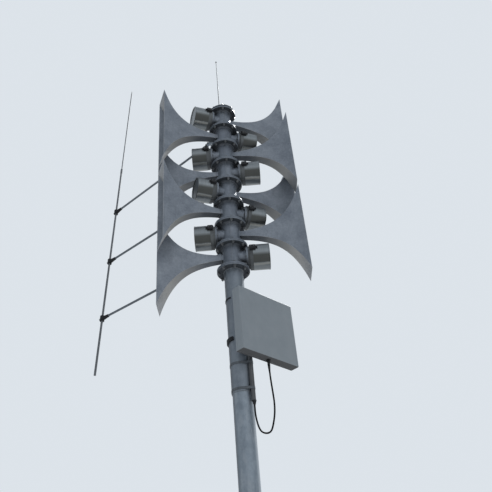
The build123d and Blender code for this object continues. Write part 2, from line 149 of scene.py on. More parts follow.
def turned(profile: list[Pair], sides: int) -> Shell:
    """Turns a profile of radius and height round Z: (r cos a, r sin a, z).

    Args:
        profile: radius and height of each point, from one end to the other.
        sides: number of steps round; 6 makes a hexagon.

    Returns:
        The shell.
    """
    r, z = np.asarray(profile, float).T[:, :, None]
    a = np.arange(sides) * tau / sides
    return skin(np.stack([r * np.cos(a), r * np.sin(a), z + 0 * a], axis=-1))


def framed(size: Pair, corner: float, section: list[Pair], steps: int, ring: bool = False) -> Shell:
    """Carries a section round a rounded rectangle in the plane of X and Y.

    The point at angle a round a corner is the corner's centre plus
    (corner + s) (cos a, sin a), with s and the height from the section.

    Args:
        size: full width along X and Y of the line that the section follows.
        corner: radius of its corners.
        section: distance outward and height of each point.
        steps: points on each corner.
        ring: True if the section is itself a closed line.

    Returns:
        The shell.
    """
    out, z = np.asarray(section, float).T[:, :, None]
    a = (np.arange(4 * steps) // steps + np.tile(np.linspace(0, 1, steps), 4)) * pi / 2
    quadrant = np.repeat(np.array([(1, 1), (-1, 1), (-1, -1), (1, -1)]), steps, axis=0)
    x, y = (quadrant * (np.array(size) / 2 - corner)).T
    reach = corner + out
    return skin(np.stack([x + reach * np.cos(a), y + reach * np.sin(a), z + 0 * a], axis=-1), ring)


def weld_ring(radius: float, bead: float, ripples: int, sides: int = 10) -> Shell:
    """A weld bead round Z: a torus whose own radius swells and shrinks along it.

    At angle a round the ring the bead's radius is bead (1 + 0.14 cos(ripples a)
    + 0.06 cos(3 a)).

    Args:
        radius: radius of the ring's middle line.
        bead: radius of the bead.
        ripples: number of swellings round the ring.
        sides: points round the bead.

    Returns:
        The shell.
    """
    a = np.linspace(0, tau, ripples * 4, endpoint=False)[:, None]
    b = np.linspace(0, tau, sides, endpoint=False)[None, :]
    size = bead * (1 + 0.14 * np.cos(ripples * a) + 0.06 * np.cos(3 * a))
    r = radius + size * np.cos(b)
    return skin(np.stack([r * np.cos(a), r * np.sin(a), size * np.sin(b)], axis=-1), ring=True)


def weld_line(length: float, bead: float, ripples: int, sides: int = 10) -> Shell:
    """A straight weld bead along Z from the origin, rippled and pulled in at its ends.

    At a share t of its length the radius is bead (1 + 0.14 cos(2 pi ripples t))
    times the fifth root of sin(pi t), which is held at 0.05 or more.
    """
    t = np.linspace(0, 1, ripples * 4 + 1)[:, None]
    b = np.linspace(0, tau, sides, endpoint=False)[None, :]
    size = bead * (1 + 0.14 * np.cos(tau * ripples * t)) * np.clip(np.sin(pi * t), 0.05, 1) ** 0.2
    return skin(np.stack([size * np.cos(b), size * np.sin(b), length * t + 0 * b], axis=-1))


def boot(big: float, small: float, length: float, ribs: int, depth: float, sides: int = 28) -> Shell:
    """A tapered sleeve hanging from the origin along -Z.

    At a share t of its length the radius is big + (small - big) t, less depth
    times the square of the sine of pi ribs t.
    """
    t = np.linspace(0, 1, ribs * 8 + 1)
    radius = big + (small - big) * t - depth * np.sin(pi * ribs * t) ** 2
    return turned(list(zip(radius, -length * t)), sides)


def aimed(ways: Array, spins: Array | float = 0.0) -> Array:
    """Returns one rotation for each direction that carries +Z to it.

    Args:
        ways: directions as an m x 3 array.
        spins: turns about each direction in radians.

    Returns:
        An m x 3 x 3 array.
    """
    z = np.atleast_2d(np.asarray(ways, float))
    z = z / np.linalg.norm(z, axis=1, keepdims=True)
    x = np.cross(UP, z)
    size = np.linalg.norm(x, axis=1, keepdims=True)
    x = np.where(size > 1e-6, x / np.maximum(size, 1e-9), [1.0, 0.0, 0.0])
    y = np.cross(z, x)
    spin = (spins * np.ones(len(z)))[:, None]
    c, s = np.cos(spin), np.sin(spin)
    return np.stack([c * x + s * y, c * y - s * x, z], axis=2)


def around(angle: Array | float) -> Array:
    """Returns the level unit directions at angles in radians, as an m x 3 array."""
    a = np.atleast_1d(angle)
    return np.stack([np.cos(a), np.sin(a), 0 * a], axis=-1)


def sideways(way: Array) -> Array:
    """Returns level directions turned by a quarter turn about Z."""
    return np.stack([-way[..., 1], way[..., 0], 0 * way[..., 0]], axis=-1)


@dataclass(frozen=True)
class Fastener:
    """One hexagon fastener: a bolt's head, or a nut with the thread that stands out of it.

    The eased edge, the washer's radius and the thread's radius and pitch are
    shares of the width across flats; the thread's depth is a share of its radius.
    """

    flats: float
    height: float
    washer: float = 0.0
    stud: float = 0.0
    ease: float = 0.06
    washer_reach: float = 0.62
    thread_reach: float = 0.31
    thread_pitch: float = 0.1
    thread_depth: float = 0.09

    def shell(self) -> Shell:
        """Returns the fastener on Z = 0, standing along +Z.

        The hexagon is a six-sided turned profile with an eased top, and the
        thread is a turned profile whose radius steps in and out once a pitch.
        """
        corner, top = self.flats / 2 / cos(pi / 6), self.washer + self.height
        ease = self.flats * self.ease
        hexagon = turned([(corner, self.washer), (corner, top - ease), (corner - 1.6 * ease, top)], 6)
        parts = []
        if self.washer > 0:
            reach, lip = self.flats * self.washer_reach, 0.2 * self.washer
            parts.append(turned([(reach, 0.0), (reach, self.washer - lip), (reach - lip, self.washer)], 24))
        if self.stud > 0:
            core, pitch = self.flats * self.thread_reach, self.flats * self.thread_pitch
            steps = np.arange(0.0, self.stud, pitch / 2)
            radii = core * (1 - self.thread_depth * (np.arange(len(steps)) % 2))
            parts.append(turned([*zip(radii, top + steps), (core * 0.8, top + self.stud)], 14))
        return hexagon.joined(*parts)

    def placed(self, seats: Array, ways: Array, seed: int) -> Shell:
        """Returns a copy on each seat, each turned by chance about its own axis."""
        spins = np.random.default_rng(seed).uniform(0, pi / 3, len(seats))
        return self.shell().copies(aimed(ways + 0 * seats, spins), seats)


# Finishes
class Wiring:
    """Adds nodes to one node tree and wires them."""

    def __init__(self, tree: bpy.types.NodeTree) -> None:
        """Takes over a tree and empties it."""
        self.tree = tree
        self.tree.nodes.clear()

    def plug(self, value: object, into: Socket) -> None:
        """Wires a socket into an input, or gives the input a plain value."""
        if isinstance(value, Socket):
            self.tree.links.new(value, into)
        else:
            into.default_value = value

    def add(self, kind: str, inputs: dict | None = None, **settings: object) -> bpy.types.Node:
        """Adds a node.

        Args:
            kind: the node's type name.
            inputs: a value or a socket for each input, by name or number.
            settings: the node's own properties.

        Returns:
            The node.
        """
        node = self.tree.nodes.new(kind)
        for key, value in settings.items():
            setattr(node, key, value)
        for key, value in (inputs or {}).items():
            self.plug(value, node.inputs[key])
        return node

    def math(self, kind: str, a: object, b: object = 0.0) -> Socket:
        """Returns a calculation of two values."""
        return self.add("ShaderNodeMath", {0: a, 1: b}, operation=kind).outputs[0]

    def plus(self, a: object, b: object) -> Socket:
        """Returns the sum of two values."""
        return self.math("ADD", a, b)

    def times(self, a: object, b: object) -> Socket:
        """Returns the product of two values."""
        return self.math("MULTIPLY", a, b)

    def vector(self, kind: str, a: object, b: object = (0, 0, 0), output: int | str = 0) -> Socket:
        """Returns a calculation of two vectors."""
        return self.add("ShaderNodeVectorMath", {0: a, 1: b}, operation=kind).outputs[output]


class Nodes(Wiring):
    """The shader nodes of one material."""

    def __init__(self, name: str) -> None:
        """Starts a material that holds one Principled shader."""
        self.material = bpy.data.materials.new(name)
        self.material.use_nodes = True
        super().__init__(self.material.node_tree)
        self.shader = self.add("ShaderNodeBsdfPrincipled")
        self.add("ShaderNodeOutputMaterial", {0: self.shader.outputs[0]})
        self.where = self.add("ShaderNodeTexCoord").outputs["Object"]

    def set(self, **values: object) -> None:
        """Sets inputs of the shader; an underscore in a name stands for a space."""
        for key, value in values.items():
            self.plug(value, self.shader.inputs[key.replace("_", " ")])

    def placed(self, scale: Point = (1, 1, 1), turn: float = 0.0) -> Socket:
        """Returns object coordinates turned about Z and then stretched."""
        turned_at = self.add("ShaderNodeMapping", {"Vector": self.where, "Rotation": (0, 0, -turn)})
        return self.add("ShaderNodeMapping", {"Vector": turned_at.outputs[0], "Scale": scale}).outputs[0]

    def noise(self, scale: float, detail: float = 4.0, rough: float = 0.55,
              at: Socket | None = None) -> Socket:
        """Returns cloudy noise from 0 to 1, with scale features to the metre."""
        return self.add("ShaderNodeTexNoise", {
            "Vector": at or self.where, "Scale": scale, "Detail": detail, "Roughness": rough,
        }).outputs[0]

    def drawn_out(self, scale: Point, detail: float, rough: float = 0.6, turn: float = 0.0) -> Socket:
        """Returns noise with its own number of features to the metre along each axis."""
        return self.noise(1.0, detail, rough, self.placed(scale, turn))

    def cells(self, scale: float, at: Socket) -> Socket:
        """Returns a random grey for each crystal-like cell."""
        node = self.add("ShaderNodeTexVoronoi", {"Vector": at, "Scale": scale})
        return self.add("ShaderNodeSeparateColor", {0: node.outputs["Color"]}).outputs[0]

    def span(self, value: Socket, low: float, high: float, first: float = 0.0, last: float = 1.0) -> Socket:
        """Carries low..high to first..last and holds it there."""
        return self.add("ShaderNodeMapRange", {0: value, 1: low, 2: high, 3: first, 4: last}).outputs[0]

    def scaled(self, value: Socket, first: float, last: float) -> Socket:
        """Carries 0..1 to first..last and holds it there."""
        return self.span(value, 0.0, 1.0, first, last)

    def band(self, value: Socket, start: float, full: float, fading: float, end: float) -> Socket:
        """Returns 1 from full to fading, and 0 before start and past end."""
        return self.times(self.span(value, start, full), self.span(value, end, fading))

    def mix(self, share: object, a: object, b: object) -> Socket:
        """Returns colour a with a share of colour b."""
        a, b = (v if isinstance(v, Socket) else (*v, 1.0) for v in (a, b))
        return self.add("ShaderNodeMix", {0: share, 6: a, 7: b}, data_type="RGBA").outputs[2]

    def blend(self, share: object, a: object, b: object) -> Socket:
        """Returns value a with a share of value b."""
        return self.add("ShaderNodeMix", {0: share, 2: a, 3: b}, data_type="FLOAT").outputs[0]

    def bump(self, height: Socket, depth: float, over: Socket | None = None) -> Socket:
        """Returns a normal bent by a height map; depth is its relief in metres."""
        inputs = {"Height": height, "Distance": depth, "Strength": 1.0}
        if over:
            inputs["Normal"] = over
        return self.add("ShaderNodeBump", inputs).outputs[0]

    def facing(self, axis: int) -> Socket:
        """Returns 1 on faces that look along an axis (0 is X, 2 is Z) and -1 on those that look back."""
        normal = self.add("ShaderNodeNewGeometry").outputs["Normal"]
        return self.add("ShaderNodeSeparateXYZ", {0: normal}).outputs[axis]

    def down(self, start: float) -> Socket:
        """Returns 1 on undersides; start is how far down a face has to look before this begins."""
        return self.span(self.facing(2), -start, -start - 0.3)

    def crevice(self, reach: float) -> Socket:
        """Returns 1 in corners and hollows whose walls are nearer than reach, and 0 in the open."""
        occlusion = self.add("ShaderNodeAmbientOcclusion", {"Distance": reach}, samples=6)
        return self.span(occlusion.outputs["AO"], 0.75, 0.15)

    def from_axis(self) -> Socket:
        """Returns the level distance from the mast's axis in metres."""
        return self.vector("LENGTH", self.placed((1.0, 1.0, 0.0)), output="Value")

    def softened(self, radius: float) -> Socket:
        """Returns the normal as if sharp edges were rounded to a radius."""
        return self.add("ShaderNodeBevel", {"Radius": radius}, samples=6).outputs[0]

    def edges(self, radius: float) -> Socket:
        """Returns 1 along sharp edges and 0 elsewhere."""
        soft = self.softened(radius)
        flat = self.add("ShaderNodeNewGeometry").outputs["Normal"]
        return self.span(self.vector("DOT_PRODUCT", soft, flat, "Value"), 0.97, 0.75)


def shade(tone: Rgb, share: float) -> Rgb:
    """Returns a tone at a share of its brightness."""
    return tuple(share * v for v in tone)


@dataclass(frozen=True)
class Finish:
    """A finish: its name, its darker and lighter tone, how metallic it is and how it shines.

    Shine is the roughness where the surface is smoothest and where it is
    dullest, and gloss is the level of its plain reflection.
    """

    name: str
    dark: Rgb
    light: Rgb
    metallic: float = 0.0
    shine: Pair = (0.5, 0.7)
    gloss: float = 0.5

    def material(self) -> bpy.types.Material:
        """Returns the finish's material, built the first time it is asked for."""
        known = bpy.data.materials.get(self.name)
        if known:
            return known
        nodes = Nodes(self.name)
        nodes.set(Metallic=self.metallic, Specular_IOR_Level=self.gloss)
        self.paint(nodes)
        return nodes.material

    def paint(self, nodes: Nodes) -> None:
        """Adds the finish's own pattern; each kind of finish has its own."""
        raise NotImplementedError


@dataclass(frozen=True)
class CastFinish(Finish):
    """Aged sand casting: cloudy tone, rain streaks, grain, painted shade in hollows,
    a painted underside tone and edges lightened by wear and painted highlight.

    Over the distances near from the mast's axis the painted underside tone goes from
    under_near to under: a darker tone paints shade with some grime, a paler one paints
    light thrown up from the floor. Of the two edge widths, the first is that of the edges
    lightened by wear and painted highlight, and edge is that of the rounded edges.
    """

    worn_and_lit_tone: Rgb = (0.42, 0.43, 0.44)
    under: Rgb = (0.014, 0.016, 0.019)
    under_share: float = 1.0
    under_from: float = 0.5
    under_near: Rgb = (0.05, 0.056, 0.064)
    near: Pair = (0.17, 0.40)
    streaky: float = 0.4
    painted_dark: Rgb = (0.02, 0.022, 0.025)
    hollow_shade_share: float = 0.6
    hollow_shade_reach: float = 0.12
    worn_and_lit: float = 0.004
    edge: float = 0.0024
    grain: float = 0.0006

    def paint(self, nodes: Nodes) -> None:
        """Adds clouds, streaks, speckles, a painted underside tone, painted shade in hollows, edges lightened
        by wear and painted highlight, and relief.
        """
        clouds = nodes.span(nodes.noise(9.0, 7.0, 0.68), 0.34, 0.66)
        mottle = nodes.span(nodes.noise(75.0, 5.0, 0.7), 0.36, 0.64)
        sand = nodes.noise(520.0, 3.0, 0.7)
        streak = nodes.span(nodes.drawn_out((38.0, 38.0, 4.5), 5.0), 0.5, 0.76, 0.0, self.streaky)
        share = nodes.plus(nodes.scaled(clouds, 0.0, 0.6), nodes.scaled(mottle, 0.0, 0.4))
        tone = nodes.mix(share, self.dark, self.light)
        tone = nodes.mix(streak, tone, shade(self.dark, 0.66))
        tone = nodes.mix(nodes.span(sand, 0.6, 0.8, 0.0, 0.4), tone, shade(self.dark, 0.75))
        # Painted underside tone: shade with some grime under flanges near the mast, and light thrown up from
        # the floor under the horns away from the column.
        patchy = nodes.span(nodes.noise(60.0, 4.0, 0.6), 0.3, 0.6, 0.85, 1.0)
        below = nodes.times(nodes.down(self.under_from), nodes.times(patchy, self.under_share))
        far = nodes.span(nodes.from_axis(), *self.near)
        tone = nodes.mix(below, tone, nodes.mix(far, self.under_near, self.under))
        # Painted shade: darker in hollows and corners whose walls are near.
        tone = nodes.mix(nodes.times(nodes.crevice(self.hollow_shade_reach), self.hollow_shade_share), tone, self.painted_dark)
        # Edges lighter from wear and from a painted highlight.
        worn_and_lit = nodes.times(nodes.edges(self.worn_and_lit), nodes.scaled(clouds, 0.4, 0.9))
        satin, dull = self.shine
        rough = nodes.plus(nodes.scaled(clouds, dull, satin), nodes.span(sand, 0.3, 0.7, -0.06, 0.06))
        waves = nodes.bump(nodes.noise(45.0, 2.0), 0.0012, nodes.softened(self.edge))
        nodes.set(Base_Color=nodes.mix(worn_and_lit, tone, self.worn_and_lit_tone),
                  Roughness=nodes.plus(rough, nodes.times(below, 0.15)),
                  Specular_IOR_Level=nodes.blend(below, self.gloss, 0.0),
                  Metallic=nodes.blend(below, self.metallic, 0.0),
                  Normal=nodes.bump(sand, self.grain, waves))


@dataclass(frozen=True)
class ZincFinish(Finish):
    """Hot-dip zinc: crystal spangle, clouds of dull grey, pale bloom and faint runs."""

    metallic: float = 0.4
    gloss: float = 0.25
    spangle: float = 60.0
    pale: Rgb = (0.28, 0.30, 0.32)
    blooming: float = 0.3
    edge: Rgb = (0.40, 0.44, 0.47)
    edge_share: float = 0.4
    edge_width: float = 0.0015
    side_light_share: float = 0.75

    def paint(self, nodes: Nodes) -> None:
        """Adds spangle, clouds, pale bloom, runs, painted light on faces toward +X and painted shade on faces
        toward -X.
        """
        warp = nodes.vector("MULTIPLY", nodes.noise(24.0, 2.0), (0.02, 0.02, 0.02))
        crystal = nodes.cells(self.spangle, nodes.vector("ADD", nodes.placed((1.0, 1.0, 0.55)), warp))
        clouds = nodes.span(nodes.noise(16.0, 6.0, 0.65), 0.34, 0.66)
        share = nodes.plus(nodes.scaled(crystal, 0.0, 0.4), nodes.scaled(clouds, 0.0, 0.6))
        bloom = nodes.span(nodes.drawn_out((34.0, 34.0, 9.0), 5.0), 0.5, 0.72, 0.0, self.blooming)
        tone = nodes.mix(bloom, nodes.mix(share, self.dark, self.light), self.pale)
        dull = nodes.span(nodes.noise(70.0, 4.0, 0.7), 0.58, 0.72, 0.0, 0.4)
        tone = nodes.mix(dull, tone, shade(self.dark, 0.8))
        tone = nodes.mix(nodes.times(nodes.edges(self.edge_width), self.edge_share), tone, self.edge)
        # Painted light: paler on faces that look along +X, the sun's side.
        tone = nodes.mix(nodes.span(nodes.facing(0), 0.72, 0.9, 0.0, self.side_light_share), tone, self.pale)
        # Painted shade: darker on faces that look along -X, away from the sun.
        shaded_side = nodes.span(nodes.facing(0), -0.68, -0.95, 0.0, self.side_light_share)
        rough = nodes.plus(nodes.scaled(crystal, *self.shine), nodes.span(bloom, 0.0, 0.6, 0.0, 0.15))
        nodes.set(Base_Color=nodes.mix(shaded_side, tone, shade(self.dark, 0.5)), Roughness=rough,
                  Normal=nodes.bump(nodes.noise(240.0, 3.0), 0.0003, nodes.bump(crystal, 0.00012)))


@dataclass(frozen=True)
class SatinFinish(Finish):
    """Rolled stainless sheet, brushed round a level axis, over a cast ring near the column.

    The axis is X turned by turn, and the cast ring ends at ring_to along it.
    Flank and streak are bands of slope, which is 0 on an upright face and -1 on
    an underside; each starts, is full, fades and ends at its four values. The flank
    takes a painted dark reflection and the streak a painted pale reflection.
    """

    dark: Rgb = (0.125, 0.142, 0.154)
    light: Rgb = (0.22, 0.24, 0.252)
    metallic: float = 0.7
    shine: Pair = (0.26, 0.38)
    turn: float = 0.0
    ring_to: float = 0.1242
    cast_dark: Rgb = (0.07, 0.075, 0.08)
    cast_light: Rgb = (0.12, 0.13, 0.135)
    cast_rough: float = 0.62
    painted_dark: Rgb = (0.042, 0.043, 0.038)
    flank: tuple[float, ...] = (-0.18, -0.42, -0.82, -0.87)
    flank_dark_share: float = 0.85
    pale: Rgb = (0.36, 0.36, 0.33)
    streak: tuple[float, ...] = (-0.85, -0.89, -0.94, -0.965)
    streak_highlight_share: float = 0.55

    def paint(self, nodes: Nodes) -> None:
        """Adds brush lines, smears, a painted dark reflection on the flank, a painted pale reflection on the
        streak and the cast ring's own tone.
        """
        brush = nodes.drawn_out((900.0, 9.0, 9.0), 3.0, turn=self.turn)
        smear = nodes.span(nodes.noise(14.0, 5.0, 0.6), 0.35, 0.65)
        along = nodes.add("ShaderNodeSeparateXYZ", {0: nodes.placed(turn=self.turn)}).outputs[0]
        can = nodes.span(nodes.math("ABSOLUTE", along), self.ring_to - 0.0002, self.ring_to + 0.0002)
        sheet = nodes.mix(nodes.span(brush, 0.3, 0.7), self.dark, self.light)
        sheet = nodes.mix(nodes.scaled(smear, 0.0, 0.3), sheet, self.dark)
        # Painted reflections by slope: dark over the lower flank, pale in a streak near the bottom.
        slope = nodes.plus(nodes.facing(2), nodes.scaled(smear, -0.012, 0.012))
        sheet = nodes.mix(nodes.times(nodes.band(slope, *self.flank), self.flank_dark_share), sheet, self.painted_dark)
        sheet = nodes.mix(nodes.times(nodes.band(slope, *self.streak), self.streak_highlight_share), sheet, self.pale)
        cast = nodes.mix(smear, self.cast_dark, self.cast_light)
        satin = nodes.plus(nodes.span(brush, 0.2, 0.8, *self.shine), nodes.scaled(smear, 0.0, 0.1))
        nodes.set(Base_Color=nodes.mix(can, cast, sheet), Roughness=nodes.blend(can, self.cast_rough, satin),
                  Normal=nodes.bump(nodes.noise(420.0, 3.0), 0.00012, nodes.bump(brush, 0.00004)))


@dataclass(frozen=True)
class MouldedFinish(Finish):
    """Moulded or coated plastic: fine stipple, faint clouds, dust, dusty edges and painted shade on its
    underside.
    """

    stipple: float = 700.0
    relief: float = 0.0002
    dust: Rgb = (0.06, 0.062, 0.065)
    dusty: float = 0.1
    edge_share: float = 0.35
    edge_width: float = 0.0015
    under: Rgb = (0.02, 0.02, 0.02)
    under_share: float = 0.0

    def paint(self, nodes: Nodes) -> None:
        """Adds stipple, clouds, dust, dusty edges and painted shade on the underside."""
        clouds = nodes.span(nodes.noise(10.0, 5.0, 0.6), 0.3, 0.7)
        dots = nodes.noise(self.stipple, 2.0, 0.5)
        veil = nodes.span(nodes.drawn_out((26.0, 26.0, 5.0), 5.0, 0.65), 0.5, 0.8)
        tone = nodes.mix(clouds, self.dark, self.light)
        tone = nodes.mix(nodes.times(veil, self.dusty), tone, self.dust)
        tone = nodes.mix(nodes.times(nodes.edges(self.edge_width), self.edge_share), tone, self.dust)
        # Painted shade: undersides take the darker under tone and lose their plain reflection.
        below = nodes.times(nodes.down(0.5), self.under_share)
        rough = nodes.plus(nodes.span(dots, 0.3, 0.7, *self.shine), nodes.scaled(veil, 0.0, 0.12))
        nodes.set(Base_Color=nodes.mix(below, tone, self.under), Roughness=rough,
                  Specular_IOR_Level=nodes.blend(below, self.gloss, 0.0),
                  Normal=nodes.bump(dots, self.relief))


@dataclass(frozen=True)
class DrawnFinish(Finish):
    """Drawn or pultruded bar: lines along it and dull patches."""

    def paint(self, nodes: Nodes) -> None:
        """Adds lengthwise lines and patches."""
        lines = nodes.drawn_out((500.0, 500.0, 12.0), 3.0)
        patches = nodes.span(nodes.noise(18.0, 5.0, 0.6), 0.35, 0.65)
        tone = nodes.mix(nodes.times(nodes.span(lines, 0.3, 0.7), patches), self.dark, self.light)
        nodes.set(Base_Color=tone, Roughness=nodes.scaled(patches, *self.shine),
                  Normal=nodes.bump(lines, 0.0001))


class Finishes(Enum):
    """The finishes of the tower, by the piece that wears them."""

    # Column and cap: painted shade on undersides and in hollows, edges lightened by wear and painted
    # highlight.
    COLUMN = CastFinish("cast_column_grey", (0.105, 0.125, 0.155), (0.182, 0.207, 0.242), 0.35,
                        (0.3, 0.48), 0.35, worn_and_lit_tone=(0.24, 0.26, 0.28))
    CAP = CastFinish("cast_cap_grey", (0.062, 0.073, 0.088), (0.10, 0.116, 0.135), 0.0,
                     (0.6, 0.75), 0.05, worn_and_lit_tone=(0.12, 0.135, 0.15))
    # Horns: painted light thrown up from the floor on undersides, painted shade near the column and in the
    # hollows.
    HORN = CastFinish("cast_horn_grey", (0.118, 0.14, 0.173), (0.22, 0.248, 0.284), 0.25,
                      (0.42, 0.6), 0.5, worn_and_lit_tone=(0.50, 0.50, 0.49), under=(0.42, 0.412, 0.39),
                      under_share=0.8, under_from=0.2, under_near=(0.085, 0.095, 0.108),
                      streaky=0.25, painted_dark=(0.05, 0.056, 0.064), hollow_shade_share=0.7)
    ZINC = ZincFinish("hot_dip_zinc", (0.148, 0.18, 0.215), (0.234, 0.275, 0.316),
                      shine=(0.34, 0.5), pale=(0.34, 0.375, 0.41), blooming=0.5)
    SLEEVE = ZincFinish("sleeve_zinc", (0.124, 0.148, 0.177), (0.187, 0.215, 0.245),
                        shine=(0.36, 0.52), spangle=90.0, pale=(0.25, 0.28, 0.31))
    BAND = ZincFinish("band_zinc", (0.06, 0.07, 0.08), (0.11, 0.122, 0.135),
                      shine=(0.36, 0.5), spangle=120.0, pale=(0.15, 0.17, 0.185),
                      edge=(0.02, 0.022, 0.025), edge_share=0.9)
    BOLT = ZincFinish("plated_bolts", (0.045, 0.048, 0.052), (0.13, 0.138, 0.147), 0.6,
                      (0.3, 0.44), 0.3, spangle=260.0, pale=(0.30, 0.31, 0.32))
    WELD = ZincFinish("weld_beads", (0.10, 0.115, 0.13), (0.20, 0.22, 0.24), 0.5,
                      (0.4, 0.6), 0.5, spangle=300.0)
    CAN_STRAIGHT = SatinFinish("stainless_can_straight")
    CAN_TURNED = SatinFinish("stainless_can_turned", turn=PAIR_TURN)
    BLACK = MouldedFinish("moulded_black", (0.006, 0.0065, 0.008), (0.014, 0.015, 0.017),
                          shine=(0.5, 0.65), gloss=0.22)
    CLAMP = MouldedFinish("coated_clamp_black", (0.007, 0.008, 0.010), (0.016, 0.018, 0.021),
                          shine=(0.55, 0.7), gloss=0.2, dust=(0.07, 0.072, 0.076))
    # The panel's underside is painted shade.
    PANEL = MouldedFinish("panel_cover_grey", (0.216, 0.246, 0.27), (0.244, 0.274, 0.298),
                          shine=(0.42, 0.52), gloss=0.15, stipple=900.0, relief=0.0001,
                          dust=(0.31, 0.335, 0.35), dusty=0.2, under=(0.093, 0.096, 0.10), under_share=1.0)
    TUBE = MouldedFinish("conduit_dark_grey", (0.03, 0.033, 0.037), (0.055, 0.06, 0.066),
                         shine=(0.26, 0.4), stipple=500.0, dust=(0.16, 0.17, 0.17), dusty=0.2)
    CABLE = MouldedFinish("cable_sheath_black", (0.002, 0.0023, 0.003), (0.005, 0.0055, 0.007),
                          shine=(0.45, 0.55), gloss=0.1, stipple=1200.0, relief=0.00006,
                          dust=(0.02, 0.021, 0.023), dusty=0.05)
    WHIP = DrawnFinish("whip_steel", (0.11, 0.115, 0.12), (0.20, 0.21, 0.22), 0.5, (0.5, 0.62))
    ROD = DrawnFinish("rod_aluminium", (0.10, 0.11, 0.12), (0.19, 0.203, 0.218), 0.35, (0.5, 0.62), 0.3)
    STRUT = DrawnFinish("strut_fibre_grey", (0.085, 0.10, 0.118), (0.15, 0.17, 0.195), 0.0, (0.4, 0.6), 0.3)


# Pieces
def dress(finish: Finishes, *nodes: str) -> None:
    """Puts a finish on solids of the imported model."""
    material = finish.value.material()
    for node in nodes:
        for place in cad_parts[node].material_slots:
            place.material = material
    LOG.info("finish %s on %s", finish.name, ", ".join(nodes))


def new_object(name: str, data: bpy.types.ID) -> bpy.types.Object:
    """Returns a new object of the scene that holds some data."""
    thing = bpy.data.objects.new(name, data)
    bpy.context.scene.collection.objects.link(thing)
    return thing


def add_piece(name: str, shell: Shell, finish: Finishes,
              crease: float = 35.0) -> bpy.types.Object:
    """Makes a shell a piece of the tower.

    Args:
        name: the piece's name.
        shell: its surface, already in place.
        finish: what it wears.
        crease: angle in degrees past which an edge stays sharp.

    Returns:
        The object.
    """
    mesh = bpy.data.meshes.new(name)
    mesh.vertices.add(len(shell.points))
    mesh.vertices.foreach_set("co", shell.points.ravel())
    mesh.loops.add(len(shell.corners))
    mesh.loops.foreach_set("vertex_index", shell.corners)
    mesh.polygons.add(len(shell.sizes))
    mesh.polygons.foreach_set("loop_start", np.cumsum(shell.sizes) - shell.sizes)
    mesh.update(calc_edges=True)
    mesh.validate()
    mesh.polygons.foreach_set("use_smooth", np.ones(len(shell.sizes), bool))
    mesh.set_sharp_from_angle(angle=radians(crease))
    mesh.materials.append(finish.value.material())
    piece = new_object(name, mesh)
    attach(piece, "root")
    LOG.info("piece %s: %d faces", name, len(shell.sizes))
    return piece


def add_bolts(name: str, kind: Fastener, seats: Array, ways: Array, seed: int) -> None:
    """Makes the fasteners on all seats one piece; ways is one direction for all or one for each."""
    add_piece(name, kind.placed(seats, ways, seed), Finishes.BOLT)


# The picture
@dataclass(frozen=True)
class PhotoCamera:
    """The camera that stands below the tower and looks up at it."""

    place: Point = (0.01076, -3.01231, 1.60327)
    turn: Point = (127.0866, 0.5169, 6.6419)
    focal_px: float = 605.80
    centre_px: Pair = (180.10, 243.28)
    frame_px: float = 492.0
    sensor: float = 36.0

    def build(self) -> None:
        """Makes the camera with the picture's own focal length and shift."""
        lens = bpy.data.cameras.new("photo_camera")
        lens.sensor_width = self.sensor
        lens.lens = self.sensor * self.focal_px / self.frame_px
        lens.shift_x = 0.5 - self.centre_px[0] / self.frame_px
        lens.shift_y = self.centre_px[1] / self.frame_px - 0.5
        lens.clip_start, lens.clip_end = 0.05, 200.0
        camera = new_object("photo_camera", lens)
        camera.location = self.place
        camera.rotation_euler = [radians(v) for v in self.turn]
        bpy.context.scene.camera = camera
        LOG.info("camera at %s", self.place)


